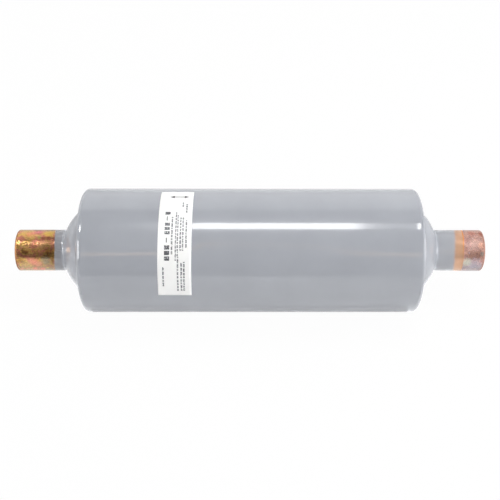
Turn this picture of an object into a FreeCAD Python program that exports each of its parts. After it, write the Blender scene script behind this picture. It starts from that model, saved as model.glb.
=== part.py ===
import FreeCAD, Part
import math
import os

# A bi-flow filter drier for the liquid line of a heat pump, in millimetres.
# The frame: +X runs along the axis towards the right-hand fitting, +Z is up, and the origin is on
# the axis, half way between the two solder sockets. A stranger solders a tube into each socket.
# Both ends are worked out in the same way, as distances outwards from the middle, and the left one
# is the mirror image of the right one.

# Steel shell: a drawn can whose right end is part of it, and a cap welded on at the left.
SHELL_RADIUS = 38.1          # a three inch tube
SHELL_WALL = 1.5
RIGHT_CORNER = 2.8           # outer radius of the can's drawn corner
LEFT_CORNER = 3.6            # outer radius of the cap's pressed corner
SHOULDER_WIDTH = 11.3        # from the outside of the shell in to where the dome meets the shoulder
DOME_RISE = 14.0             # height that the dome would have if no fitting cut it
FOOT_FILLET = 1.8            # hollow fillet between the shoulder and the dome
CAP_SKIRT = 9.0              # from the shoulder of the cap to the seam
SEAM_LAND = 0.4              # square edge left at the root of the seam
SEAM_GROOVE = 1.3            # half the width of the weld at the surface

# Copper fittings.
TUBE_RADIUS = 11.11          # of the line that is soldered in: seven eighths of an inch across
SOLDER_GAP = 0.06
SOCKET_WALL = 1.48
SOCKET_DEPTH = 19.0
STOP_STEP = 1.17             # height of the stop at the bottom of the socket
FITTING_REACH = 41.1         # from the shoulder to the mouth of the socket
FITTING_INSIDE = 3.0         # how far the fitting stands into the shell
FITTING_CHAMFER = 0.6
MOUTH_ROUND = 1.3            # outer edge of the socket's mouth
BRAZE_FIT = 0.05             # gap all round the fitting in its hole
BRAZE_BEVEL = 0.6            # bevel of the hole's outer edge, which the braze fills
BRAZE_WIDTH = 1.15           # how far the ring of braze reaches out over the dome

# Label: a thin wrap, a little askew, on the upper front of the shell.
LABEL_MIDDLE = -44.1         # along X
LABEL_WIDTH = 19.5
LABEL_ARC = 109.8            # degrees round the shell
LABEL_TURN = 61.4            # degrees from the front, upwards, to the label's middle
LABEL_SKEW = 0.9             # degrees
LABEL_THICKNESS = 0.13
LABEL_GLUE = 0.02

# Moulded desiccant core: thirty cubic inches.
FLOW_GAP = 3.6               # all round the core in the shell
CORE_BORE = 9.0              # radius
CORE_LENGTH = 155.2
CORE_CHAMFER = 1.2

# Parts between the core and each valve plate.
GASKET_THICKNESS = 1.5
SCREEN_THICKNESS = 0.5
SCREEN_HOLES = 6             # in a ring round the middle one
SCREEN_HOLE = 2.2            # radius
SCREEN_MARGIN = 1.1          # from the ring of holes to the wall of the core's bore
PAD_LENGTH = 7.5
PAD_FIT = 0.1                # gap all round the pad in the core's bore

# Bush: an eyelet that joins the plate to the core and guides the flap.
BUSH_STEP = 0.5              # its bore is wider than the core's by this, all round
BUSH_NECK_WALL = 1.0         # wall of the part that goes through the plate
BUSH_WALL = 1.7              # wall of the barrel that the flap slides on
BUSH_LIP_WIDTH = 2.5         # staked lip, which is the seat of the outlet disc
BUSH_LIP = 1.0               # thickness
BUSH_FLANGE_WIDTH = 7.0      # the gasket and the screen reach as far out as the flange
BUSH_FLANGE = 1.0            # thickness
BUSH_ENTRY = 0.9             # bevel of the bore at the core's side
BUSH_NECK_FIT = 0.05

# Outlet disc: covers the bush's bore and lifts away from the core, inside its cage.
SEAT_GAP = 0.05              # from a valve to its seat, and to its stop at full travel
DISC_FIT = 0.3               # gap all round in the cage
DISC_THICKNESS = 1.2
DISC_PIP_RADIUS = 4.0
DISC_PIP = 0.6               # height of the pip that meets the cage
DISC_TRAVEL = 4.0
CAGE_FIT = 0.4               # gap all round the bush's lip
CAGE_WALL = 0.8
CAGE_FOOT = 4.8              # width of the foot that is welded to the plate
CAGE_BEVEL = 1.5             # bevel round the top
CAGE_VENT = 6.0              # radius of the hole in the top
CAGE_WINDOW = 12.5           # width of each of the four windows
CAGE_SILL = 0.6              # left between a window and the foot
CAGE_HEAD = 1.0              # left between a window and the top

# Inlet flap: a ring that covers the ports and lifts towards the core.
FLAP_CLEARANCE = 5.6         # from its rim to the shell, where the liquid passes
FLAP_THICKNESS = 0.8
FLAP_TRAVEL = 2.4
FLAP_FIT = 0.1               # gap all round the bush's barrel

# Valve plate: a stamped disc with a skirt and a ring of ports.
PLATE_THICKNESS = 1.2
PLATE_BEVEL = 2.2            # bevel between the disc and its skirt, measured outside
PLATE_FIT = 0.05             # gap all round in the shell
RIGHT_SKIRT = 6.5            # depth of the right-hand plate, which floats on the spring
SKIRT_GAP = 0.05             # from the left-hand plate's skirt to the start of the cap's corner
PORTS = 6
PORT_LAND = 1.9              # from a port to the cage's foot, and to the rim of the flap

# Coil spring between the right-hand plate and the can's shoulder, ground flat at both ends.
SPRING_LENGTH = 14.9         # as fitted
SPRING_WIRE = 2.4            # diameter
SPRING_TURNS = 2.75
SPRING_FLATS = 8             # the round wire is drawn with flats
SPRING_FIT = 2.35            # gap all round in the plate's skirt

# Distances from the axis, each from the one that it fits.
shell_bore = SHELL_RADIUS - SHELL_WALL
core_radius = shell_bore - FLOW_GAP
plate_radius = shell_bore - PLATE_FIT
flap_radius = shell_bore - FLAP_CLEARANCE
spring_radius = plate_radius - PLATE_THICKNESS - SPRING_FIT - SPRING_WIRE / 2
dome_foot = SHELL_RADIUS - SHOULDER_WIDTH
dome_radius = (dome_foot**2 + DOME_RISE**2) / (2 * DOME_RISE)
socket_radius = TUBE_RADIUS + SOLDER_GAP
passage_radius = socket_radius - STOP_STEP
fitting_radius = socket_radius + SOCKET_WALL
hole_radius = fitting_radius + BRAZE_FIT
bush_bore = CORE_BORE + BUSH_STEP
neck_radius = bush_bore + BUSH_NECK_WALL
barrel_radius = bush_bore + BUSH_WALL
lip_radius = bush_bore + BUSH_LIP_WIDTH
flange_radius = bush_bore + BUSH_FLANGE_WIDTH
cage_bore = lip_radius + CAGE_FIT
foot_radius = cage_bore + CAGE_WALL + CAGE_FOOT
port_circle = (foot_radius + flap_radius) / 2
port_radius = (flap_radius - foot_radius) / 2 - PORT_LAND

# Distances outwards from the middle, each from the one before.
core_end = CORE_LENGTH / 2
gasket_end = core_end + GASKET_THICKNESS
screen_end = gasket_end + SCREEN_THICKNESS
flange_end = screen_end + BUSH_FLANGE
plate_inner = flange_end + SEAT_GAP + FLAP_TRAVEL + FLAP_THICKNESS + SEAT_GAP
plate_outer = plate_inner + PLATE_THICKNESS
disc_seat = plate_outer + BUSH_LIP
cage_top = disc_seat + SEAT_GAP + DISC_THICKNESS + DISC_PIP + DISC_TRAVEL + SEAT_GAP
shoulder = plate_outer + SPRING_LENGTH + SHELL_WALL
seam = shoulder - CAP_SKIRT
mouth = shoulder + FITTING_REACH
left_skirt_end = shoulder - LEFT_CORNER - SKIRT_GAP
right_skirt_end = plate_inner + RIGHT_SKIRT

X_AXIS = FreeCAD.Vector(1, 0, 0)
ORIGIN = FreeCAD.Vector(0, 0, 0)


class Outline:
    """A closed outline of lines and arcs in the half plane of x and distance from the axis."""

    def __init__(self, x, r):
        self.first = (x, r)
        self.last = (x, r)
        self.edges = []

    def line(self, x, r):
        self.edges.append(Part.LineSegment(point(*self.last), point(x, r)).toShape())
        self.last = (x, r)
        return self

    def arc(self, centre, end):
        """The shorter arc about a centre, from where the outline is to an end."""
        cx, cr = centre
        out = (self.last[0] + end[0] - 2 * cx, self.last[1] + end[1] - 2 * cr)
        radius = math.hypot(end[0] - cx, end[1] - cr)
        share = radius / math.hypot(*out)
        via = (cx + out[0] * share, cr + out[1] * share)
        self.edges.append(Part.Arc(point(*self.last), point(*via), point(*end)).toShape())
        self.last = end
        return self

    def turned(self, degrees=360):
        """The solid that the outline makes, closed by a line and turned round the axis."""
        if self.last != self.first:
            self.line(*self.first)
        return Part.Face(Part.Wire(self.edges)).revolve(ORIGIN, X_AXIS, degrees)


def point(x, r):
    return FreeCAD.Vector(x, 0, r)


def band(start, end, inner, outer):
    """A plain ring between two distances along the axis and two from it."""
    return Outline(start, inner).line(start, outer).line(end, outer).line(end, inner).turned()


def rod(start, end, radius, away=0, turn=0):
    """A cylinder along the axis, away from it in the direction of turn."""
    angle = math.radians(turn)
    foot = FreeCAD.Vector(start, away * math.cos(angle), away * math.sin(angle))
    return Part.makeCylinder(radius, end - start, foot, X_AXIS)


def on_left(shape):
    return shape.mirror(ORIGIN, X_AXIS)


# Points of the pressed ends. The skin at a depth of 0 is the outside, and at SHELL_WALL the inside.
dome_middle = (shoulder - math.sqrt(dome_radius**2 - dome_foot**2), 0.0)
fillet_rise = shoulder + FOOT_FILLET - dome_middle[0]
fillet_middle = (
    shoulder + FOOT_FILLET,
    math.sqrt((dome_radius + FOOT_FILLET) ** 2 - fillet_rise**2),
)


def foot_on_shoulder(depth):
    return (shoulder - depth, fillet_middle[1])


def foot_on_dome(depth):
    share = (dome_radius - depth) / (dome_radius + FOOT_FILLET)
    return (dome_middle[0] + fillet_rise * share, fillet_middle[1] * share)


def dome_at(r, depth):
    return (dome_middle[0] + math.sqrt((dome_radius - depth) ** 2 - r**2), r)


# The hole's outer edge is bevelled, from its root on the hole's wall to its top on the dome.
bevel_top = dome_at(hole_radius + BRAZE_BEVEL, 0)
bevel_root = (bevel_top[0] - BRAZE_BEVEL, hole_radius)


def add_end(outline, corner):
    """Carries an outline round the corner and over the dome to its hole, and back inside."""
    corner_middle = (shoulder - corner, SHELL_RADIUS - corner)
    outline.line(shoulder - corner, SHELL_RADIUS)
    outline.arc(corner_middle, (shoulder, SHELL_RADIUS - corner))
    outline.line(*foot_on_shoulder(0))
    outline.arc(fillet_middle, foot_on_dome(0))
    outline.arc(dome_middle, bevel_top)
    outline.line(*bevel_root)
    outline.line(*dome_at(hole_radius, SHELL_WALL))
    outline.arc(dome_middle, foot_on_dome(SHELL_WALL))
    outline.arc(fillet_middle, foot_on_shoulder(SHELL_WALL))
    outline.line(shoulder - SHELL_WALL, SHELL_RADIUS - corner)
    outline.arc(corner_middle, (shoulder - corner, shell_bore))
    return outline


def shell_body():
    """The can: open at the left, with the edge of the mouth cut back for the weld."""
    outline = Outline(-seam, shell_bore).line(-seam, shell_bore + SEAM_LAND)
    outline.line(-seam + SEAM_GROOVE, SHELL_RADIUS)
    return add_end(outline, RIGHT_CORNER).turned()


def end_cap():
    outline = Outline(seam, shell_bore).line(seam, shell_bore + SEAM_LAND)
    outline.line(seam + SEAM_GROOVE, SHELL_RADIUS)
    return on_left(add_end(outline, LEFT_CORNER).turned())


def closing_weld():
    outline = Outline(-seam, shell_bore + SEAM_LAND)
    outline.line(-seam + SEAM_GROOVE, SHELL_RADIUS)
    return outline.line(-seam - SEAM_GROOVE, SHELL_RADIUS).turned()


def fitting():
    """A turned copper fitting: a spigot into the shell, a stop, and a socket for the tube."""
    inner_end = dome_at(hole_radius, SHELL_WALL)[0] - FITTING_INSIDE
    stop = mouth - SOCKET_DEPTH
    outline = Outline(inner_end, passage_radius)
    outline.line(inner_end, fitting_radius - FITTING_CHAMFER)
    outline.line(inner_end + FITTING_CHAMFER, fitting_radius)
    outline.line(mouth - MOUTH_ROUND, fitting_radius)
    outline.arc(
        (mouth - MOUTH_ROUND, fitting_radius - MOUTH_ROUND),
        (mouth, fitting_radius - MOUTH_ROUND),
    )
    outline.line(mouth, socket_radius)
    outline.line(stop, socket_radius)
    return outline.line(stop, passage_radius).turned()


def braze_fillet():
    """The ring of braze that fills the hole's bevel and the corner between dome and fitting."""
    on_dome = dome_at(fitting_radius + BRAZE_WIDTH, 0)
    hollow = BRAZE_WIDTH * dome_radius / (dome_radius - on_dome[1])
    reach = dome_radius + hollow
    hollow_middle = (
        dome_middle[0] + math.sqrt(reach**2 - (fitting_radius + hollow) ** 2),
        fitting_radius + hollow,
    )
    outline = Outline(bevel_root[0], fitting_radius).line(*bevel_root).line(*bevel_top)
    outline.arc(dome_middle, on_dome)
    return outline.arc(hollow_middle, (hollow_middle[0], fitting_radius)).turned()


def label():
    """A strip of a tube's wall, cut to its width by a block that is turned by the skew."""
    inner = SHELL_RADIUS + LABEL_GLUE
    outer = inner + LABEL_THICKNESS
    spare = LABEL_WIDTH
    strip = Outline(LABEL_MIDDLE - spare, inner).line(LABEL_MIDDLE - spare, outer)
    strip.line(LABEL_MIDDLE + spare, outer).line(LABEL_MIDDLE + spare, inner)
    strip = strip.turned(LABEL_ARC)
    # The strip starts at the top and runs to the front, so its middle is half an arc from the top.
    strip.rotate(ORIGIN, X_AXIS, 90 - LABEL_TURN - LABEL_ARC / 2)
    block = Part.makeBox(LABEL_WIDTH, 4 * outer, 2 * outer)
    block.translate(FreeCAD.Vector(-LABEL_WIDTH / 2, -2 * outer, 0))
    block.rotate(ORIGIN, FreeCAD.Vector(0, 0, 1), -LABEL_SKEW)
    block.rotate(ORIGIN, X_AXIS, 90 - LABEL_TURN)
    block.translate(FreeCAD.Vector(LABEL_MIDDLE, 0, 0))
    return strip.common(block)


def desiccant_core():
    outline = Outline(-core_end, CORE_BORE).line(-core_end, core_radius - CORE_CHAMFER)
    outline.line(-core_end + CORE_CHAMFER, core_radius)
    outline.line(core_end - CORE_CHAMFER, core_radius)
    outline.line(core_end, core_radius - CORE_CHAMFER)
    return outline.line(core_end, CORE_BORE).turned()


def outlet_pad():
    return rod(gasket_end - PAD_LENGTH, gasket_end, CORE_BORE - PAD_FIT)


def core_gasket():
    return band(core_end, gasket_end, CORE_BORE, flange_radius)


def outlet_screen():
    """A thin disc with a hole in the middle and a ring of holes round it."""
    disc = rod(gasket_end, screen_end, flange_radius)
    pitch = CORE_BORE - SCREEN_MARGIN - SCREEN_HOLE
    holes = [rod(gasket_end, screen_end, SCREEN_HOLE)]
    for i in range(SCREEN_HOLES):
        turn = 360 * i / SCREEN_HOLES
        holes.append(rod(gasket_end, screen_end, SCREEN_HOLE, pitch, turn))
    return disc.cut(Part.makeCompound(holes))


def valve_plate(skirt_end):
    """A stamped disc whose rim is bent outwards into a skirt, with a ring of inlet ports."""
    # The sheet keeps its thickness across a bevel of 45 degrees, so the inside of it is shorter.
    inside = PLATE_BEVEL - PLATE_THICKNESS * (2 - math.sqrt(2))
    outline = Outline(plate_inner, neck_radius + BUSH_NECK_FIT)
    outline.line(plate_inner, plate_radius - PLATE_BEVEL)
    outline.line(plate_inner + PLATE_BEVEL, plate_radius)
    outline.line(skirt_end, plate_radius)
    outline.line(skirt_end, plate_radius - PLATE_THICKNESS)
    outline.line(plate_outer + inside, plate_radius - PLATE_THICKNESS)
    outline.line(plate_outer, plate_radius - PLATE_THICKNESS - inside)
    plate = outline.line(plate_outer, neck_radius + BUSH_NECK_FIT).turned()
    ports = []
    for i in range(PORTS):
        ports.append(rod(plate_inner, plate_outer, port_radius, port_circle, 360 * i / PORTS))
    return plate.cut(Part.makeCompound(ports))


def valve_bush():
    """An eyelet: a flange on the gasket, a barrel for the flap, a neck through the plate."""
    outline = Outline(screen_end, bush_bore + BUSH_ENTRY)
    outline.line(screen_end, flange_radius)
    outline.line(flange_end, flange_radius)
    outline.line(flange_end, barrel_radius)
    outline.line(plate_inner, barrel_radius)
    outline.line(plate_inner, neck_radius)
    outline.line(plate_outer, neck_radius)
    outline.line(plate_outer, lip_radius)
    outline.line(disc_seat, lip_radius)
    outline.line(disc_seat, bush_bore)
    return outline.line(screen_end + BUSH_ENTRY, bush_bore).turned()


def inlet_flap():
    """At rest it lies on the plate, over the ports."""
    face = plate_inner - SEAT_GAP
    return band(face - FLAP_THICKNESS, face, barrel_radius + FLAP_FIT, flap_radius)


def outlet_disc():
    """At rest it lies on the bush's lip. Its pip meets the cage at full travel."""
    face = disc_seat + SEAT_GAP
    back = face + DISC_THICKNESS
    outline = Outline(face, 0).line(face, cage_bore - DISC_FIT).line(back, cage_bore - DISC_FIT)
    outline.line(back, DISC_PIP_RADIUS).line(back + DISC_PIP, DISC_PIP_RADIUS)
    return outline.line(back + DISC_PIP, 0).turned()


def outlet_cage():
    """A drawn cup with a foot, a hole in its top and four windows in its wall."""
    wall = cage_bore + CAGE_WALL
    top = cage_top + CAGE_WALL
    foot_top = plate_outer + CAGE_WALL
    outline = Outline(plate_outer, cage_bore).line(plate_outer, foot_radius)
    outline.line(foot_top, foot_radius).line(foot_top, wall).line(top - CAGE_BEVEL, wall)
    outline.line(top, wall - CAGE_BEVEL).line(top, CAGE_VENT).line(cage_top, CAGE_VENT)
    outline.line(cage_top, cage_bore)
    cage = outline.turned()
    low = foot_top + CAGE_SILL
    high = cage_top - CAGE_HEAD
    across = 2 * foot_radius
    slot = Part.makeBox(high - low, CAGE_WINDOW, across)
    slot.translate(FreeCAD.Vector(low, -CAGE_WINDOW / 2, -across / 2))
    crossed = slot.copy()
    crossed.rotate(ORIGIN, X_AXIS, 90)
    return cage.cut(Part.makeCompound([slot.fuse(crossed)]))


def core_spring():
    """A helix of wire, swept past both seats and cut flat on them."""
    pitch = SPRING_LENGTH / SPRING_TURNS
    height = SPRING_LENGTH + pitch
    helix = Part.makeHelix(pitch, height, spring_radius)
    corners = []
    for i in range(SPRING_FLATS + 1):
        angle = math.pi * (2 * i + 1) / SPRING_FLATS
        reach = spring_radius + SPRING_WIRE / 2 * math.cos(angle)
        corners.append(FreeCAD.Vector(reach, 0, SPRING_WIRE / 2 * math.sin(angle)))
    coil = Part.Wire(helix.Edges).makePipeShell([Part.makePolygon(corners)], True, True)
    coil.translate(FreeCAD.Vector(0, 0, -pitch / 2))
    width = 2 * (spring_radius + SPRING_WIRE)
    keep = Part.makeBox(width, width, SPRING_LENGTH, FreeCAD.Vector(-width / 2, -width / 2, 0))
    coil = coil.common(keep)
    coil.rotate(ORIGIN, FreeCAD.Vector(0, 1, 0), 90)
    coil.translate(FreeCAD.Vector(plate_outer, 0, 0))
    return coil


nodes = {
    "shell_body": shell_body(),
    "end_cap": end_cap(),
    "closing_weld": closing_weld(),
    "label": label(),
    "desiccant_core": desiccant_core(),
    "core_spring": core_spring(),
    "left_valve_plate": on_left(valve_plate(left_skirt_end)),
    "right_valve_plate": valve_plate(right_skirt_end),
}
paired = {
    "fitting": fitting(),
    "braze_fillet": braze_fillet(),
    "core_gasket": core_gasket(),
    "outlet_screen": outlet_screen(),
    "outlet_pad": outlet_pad(),
    "valve_bush": valve_bush(),
    "inlet_flap": inlet_flap(),
    "outlet_disc": outlet_disc(),
    "outlet_cage": outlet_cage(),
}
for name, shape in paired.items():
    nodes["left_" + name] = on_left(shape)
    nodes["right_" + name] = shape

os.makedirs("parts", exist_ok=True)
for name, shape in nodes.items():
    shape.exportStep(os.path.join("parts", name + ".step"))
    print(name, len(shape.Solids), shape.isValid(), round(shape.Volume, 2))
print("mouth", round(mouth, 2), "port radius", round(port_radius, 2))
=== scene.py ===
"""A filter drier for a refrigerant line: smooth enamelled shell, copper fittings, label and inner parts."""

import logging
import math
from collections.abc import Callable
from dataclasses import dataclass, field
from enum import Enum
from functools import partial

import bpy
import numpy as np
from mathutils import Matrix, Vector


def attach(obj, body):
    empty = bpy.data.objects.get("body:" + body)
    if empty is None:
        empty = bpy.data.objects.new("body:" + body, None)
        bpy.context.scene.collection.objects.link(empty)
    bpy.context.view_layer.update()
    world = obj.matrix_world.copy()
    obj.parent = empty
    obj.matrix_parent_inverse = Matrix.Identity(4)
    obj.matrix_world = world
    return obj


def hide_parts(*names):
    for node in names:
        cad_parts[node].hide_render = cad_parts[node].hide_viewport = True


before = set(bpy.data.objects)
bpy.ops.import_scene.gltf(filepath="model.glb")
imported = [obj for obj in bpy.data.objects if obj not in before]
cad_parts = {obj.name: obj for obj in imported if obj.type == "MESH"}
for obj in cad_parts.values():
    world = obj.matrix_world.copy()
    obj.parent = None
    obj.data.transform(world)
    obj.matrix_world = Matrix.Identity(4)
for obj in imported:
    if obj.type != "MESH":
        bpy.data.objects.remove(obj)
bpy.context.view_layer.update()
log = logging.getLogger("filter_drier")

Node = bpy.types.Node
Socket = bpy.types.NodeSocket
Piece = bpy.types.Object
Adder = Callable[..., Node]

MM = 0.001
HOUSING = "housing"
SHELL_RADIUS = 38.1
FITTING_RADIUS = 12.65
SHARP_EDGE = math.radians(28)


class Side(Enum):
    """The two ends of the shell, each with the sign that its places along X carry."""

    LEFT = -1
    RIGHT = 1

    @property
    def word(self) -> str:
        """Gives the side as a word in the names of pieces."""
        return self.name.lower()


class Fade(Enum):
    """The direction in which a lit card's light changes."""

    ALONG = "X"
    ACROSS = "Y"
    AROUND = "turn"


class Skin(Enum):
    """Which of a piece's materials a stretch of its profile shows."""

    OUTSIDE = 0
    INSIDE = 1


def linear(hex_code: str) -> tuple[float, float, float, float]:
    """Turns an sRGB colour into linear light.

    Args:
        hex_code: the colour as #rrggbb.

    Returns:
        Linear red, green and blue, and an alpha of one.
    """
    parts = np.array([int(hex_code[i : i + 2], 16) for i in (1, 3, 5)]) / 255
    light = np.where(parts <= 0.04045, parts / 12.92, ((parts + 0.055) / 1.055) ** 2.4)
    return (*(float(v) for v in light), 1.0)


def grey_of(light: float) -> str:
    """Writes an amount of linear light, from zero to one, as an sRGB grey."""
    tone = 12.92 * light if light <= 0.0031308 else 1.055 * light ** (1 / 2.4) - 0.055
    return "#" + f"{round(255 * tone):02x}" * 3


def per_metre(millimetres: float) -> float:
    """Gives the texture scale whose pattern repeats about once in this many millimetres."""
    return 1 / (millimetres * MM)


def spread(tints: tuple, low: float, high: float) -> list[tuple[float, str]]:
    """Spreads colours evenly over a ramp, from the place low to the place high."""
    return list(zip(np.linspace(low, high, len(tints)), tints))


def add_node(
    tree: bpy.types.NodeTree,
    kind: str,
    inputs: dict | None = None,
    stops: list | None = None,
    **settings: str | bool,
) -> Node:
    """Adds a node with its settings and its links.

    Args:
        tree: the node tree that gets the node.
        kind: the node's type name, after ShaderNode.
        inputs: an input's name or number, and what it gets: a value, a colour as #rrggbb, a socket,
            or a node, whose first enabled output is linked.
        stops: the stops of a colour ramp, each a place and a colour.
        settings: properties of the node itself.

    Returns:
        The new node.
    """
    node = tree.nodes.new(f"ShaderNode{kind}")
    for name, value in settings.items():
        setattr(node, name, value)
    # Of several inputs with one name, the first enabled one counts.
    named = {socket.name: socket for socket in reversed(node.inputs) if socket.enabled}
    for name, value in (inputs or {}).items():
        taker = named[name] if isinstance(name, str) else node.inputs[name]
        if isinstance(value, Node):
            value = next(socket for socket in value.outputs if socket.enabled)
        if isinstance(value, Socket):
            tree.links.new(value, taker)
        else:
            taker.default_value = linear(value) if isinstance(value, str) else value
    for number, (place, colour) in enumerate(stops or []):
        elements = node.color_ramp.elements
        stop = elements[number] if number < len(elements) else elements.new(place)
        stop.position = place
        stop.color = linear(colour)
    return node


@dataclass(frozen=True)
class Finish:
    """A material: subclasses say how its surface is made of nodes.

    Attributes:
        name: the material's name.
    """

    name: str

    def material(self) -> bpy.types.Material:
        """Makes the material.

        Returns:
            A node material with this finish on its surface output.
        """
        made = bpy.data.materials.new(self.name)
        made.use_nodes = True
        made.node_tree.nodes.clear()
        add = partial(add_node, made.node_tree)
        add("OutputMaterial", {"Surface": self.surface(add, add("TexCoord").outputs["Object"])})
        return made

    def surface(self, add: Adder, where: Socket) -> Node:
        """Builds the shader.

        Args:
            add: adds a node to the material's tree.
            where: the socket with object coordinates, in metres.

        Returns:
            The shader.
        """
        raise NotImplementedError


@dataclass(frozen=True)
class StovedEnamel(Finish):
    """Grey enamel, sprayed on the steel shell and stoved: a clear, hard gloss with a slight orange peel.

    The peel bends the edges of the lamp's reflection a little, the cloud keeps large faces from
    being one flat grey, and a few dust nibs catch the light. Sizes and heights are in millimetres.
    """

    colour: str = "#a8abb2"
    thin: str = "#a4a7ae"
    cloud: float = 26.0
    peel: float = 1.7
    peel_height: float = 0.002
    wave: float = 9.0
    wave_height: float = 0.011
    nib: float = 13.0
    nib_radius: float = 0.17
    nib_share: float = 0.08
    nib_colour: str = "#cfd0d2"
    roughness: float = 0.034
    refraction: float = 1.5

    def coat(self, add: Adder, where: Socket) -> tuple[Node, Node]:
        """Works out the enamel's colour and its uneven surface.

        Args:
            add: adds a node to the material's tree.
            where: the socket with object coordinates.

        Returns:
            The nodes of its colour and of its normal.
        """
        cloud = add("TexNoise", {"Vector": where, "Scale": per_metre(self.cloud), "Detail": 3.0})
        grey = add("ValToRGB", {"Fac": cloud}, spread((self.thin, self.colour), 0.35, 0.65))
        # A nib is a third of a millimetre across, in one cell of the pattern out of twelve.
        cells = add("TexVoronoi", {"Vector": where, "Scale": per_metre(self.nib)})
        near = add("Math", {0: cells, 1: self.nib_radius / self.nib}, operation="LESS_THAN")
        chosen = add("SeparateColor", {"Color": cells.outputs["Color"]})
        some = add("Math", {0: chosen, 1: 1 - self.nib_share}, operation="GREATER_THAN")
        nib = add("Math", {0: near, 1: some}, operation="MULTIPLY")
        shade = add("Mix", {"Factor": nib, "A": grey, "B": self.nib_colour}, data_type="RGBA")
        wave = add("TexNoise", {"Vector": where, "Scale": per_metre(self.wave), "Detail": 1.0})
        slow = add("Bump", {"Height": wave, "Strength": 1.0, "Distance": self.wave_height * MM})
        peel = add("TexNoise", {"Vector": where, "Scale": per_metre(self.peel), "Detail": 1.0})
        rises = {"Height": peel, "Strength": 1.0, "Distance": self.peel_height * MM}
        return shade, add("Bump", {**rises, "Normal": slow})

    def surface(self, add: Adder, where: Socket) -> Node:
        """Builds the enamel.

        Args:
            add: adds a node to the material's tree.
            where: the socket with object coordinates.

        Returns:
            The shader.
        """
        colour, normal = self.coat(add, where)
        looks = {"Base Color": colour, "Normal": normal, "Roughness": self.roughness}
        return add("BsdfPrincipled", {**looks, "IOR": self.refraction})


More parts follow.
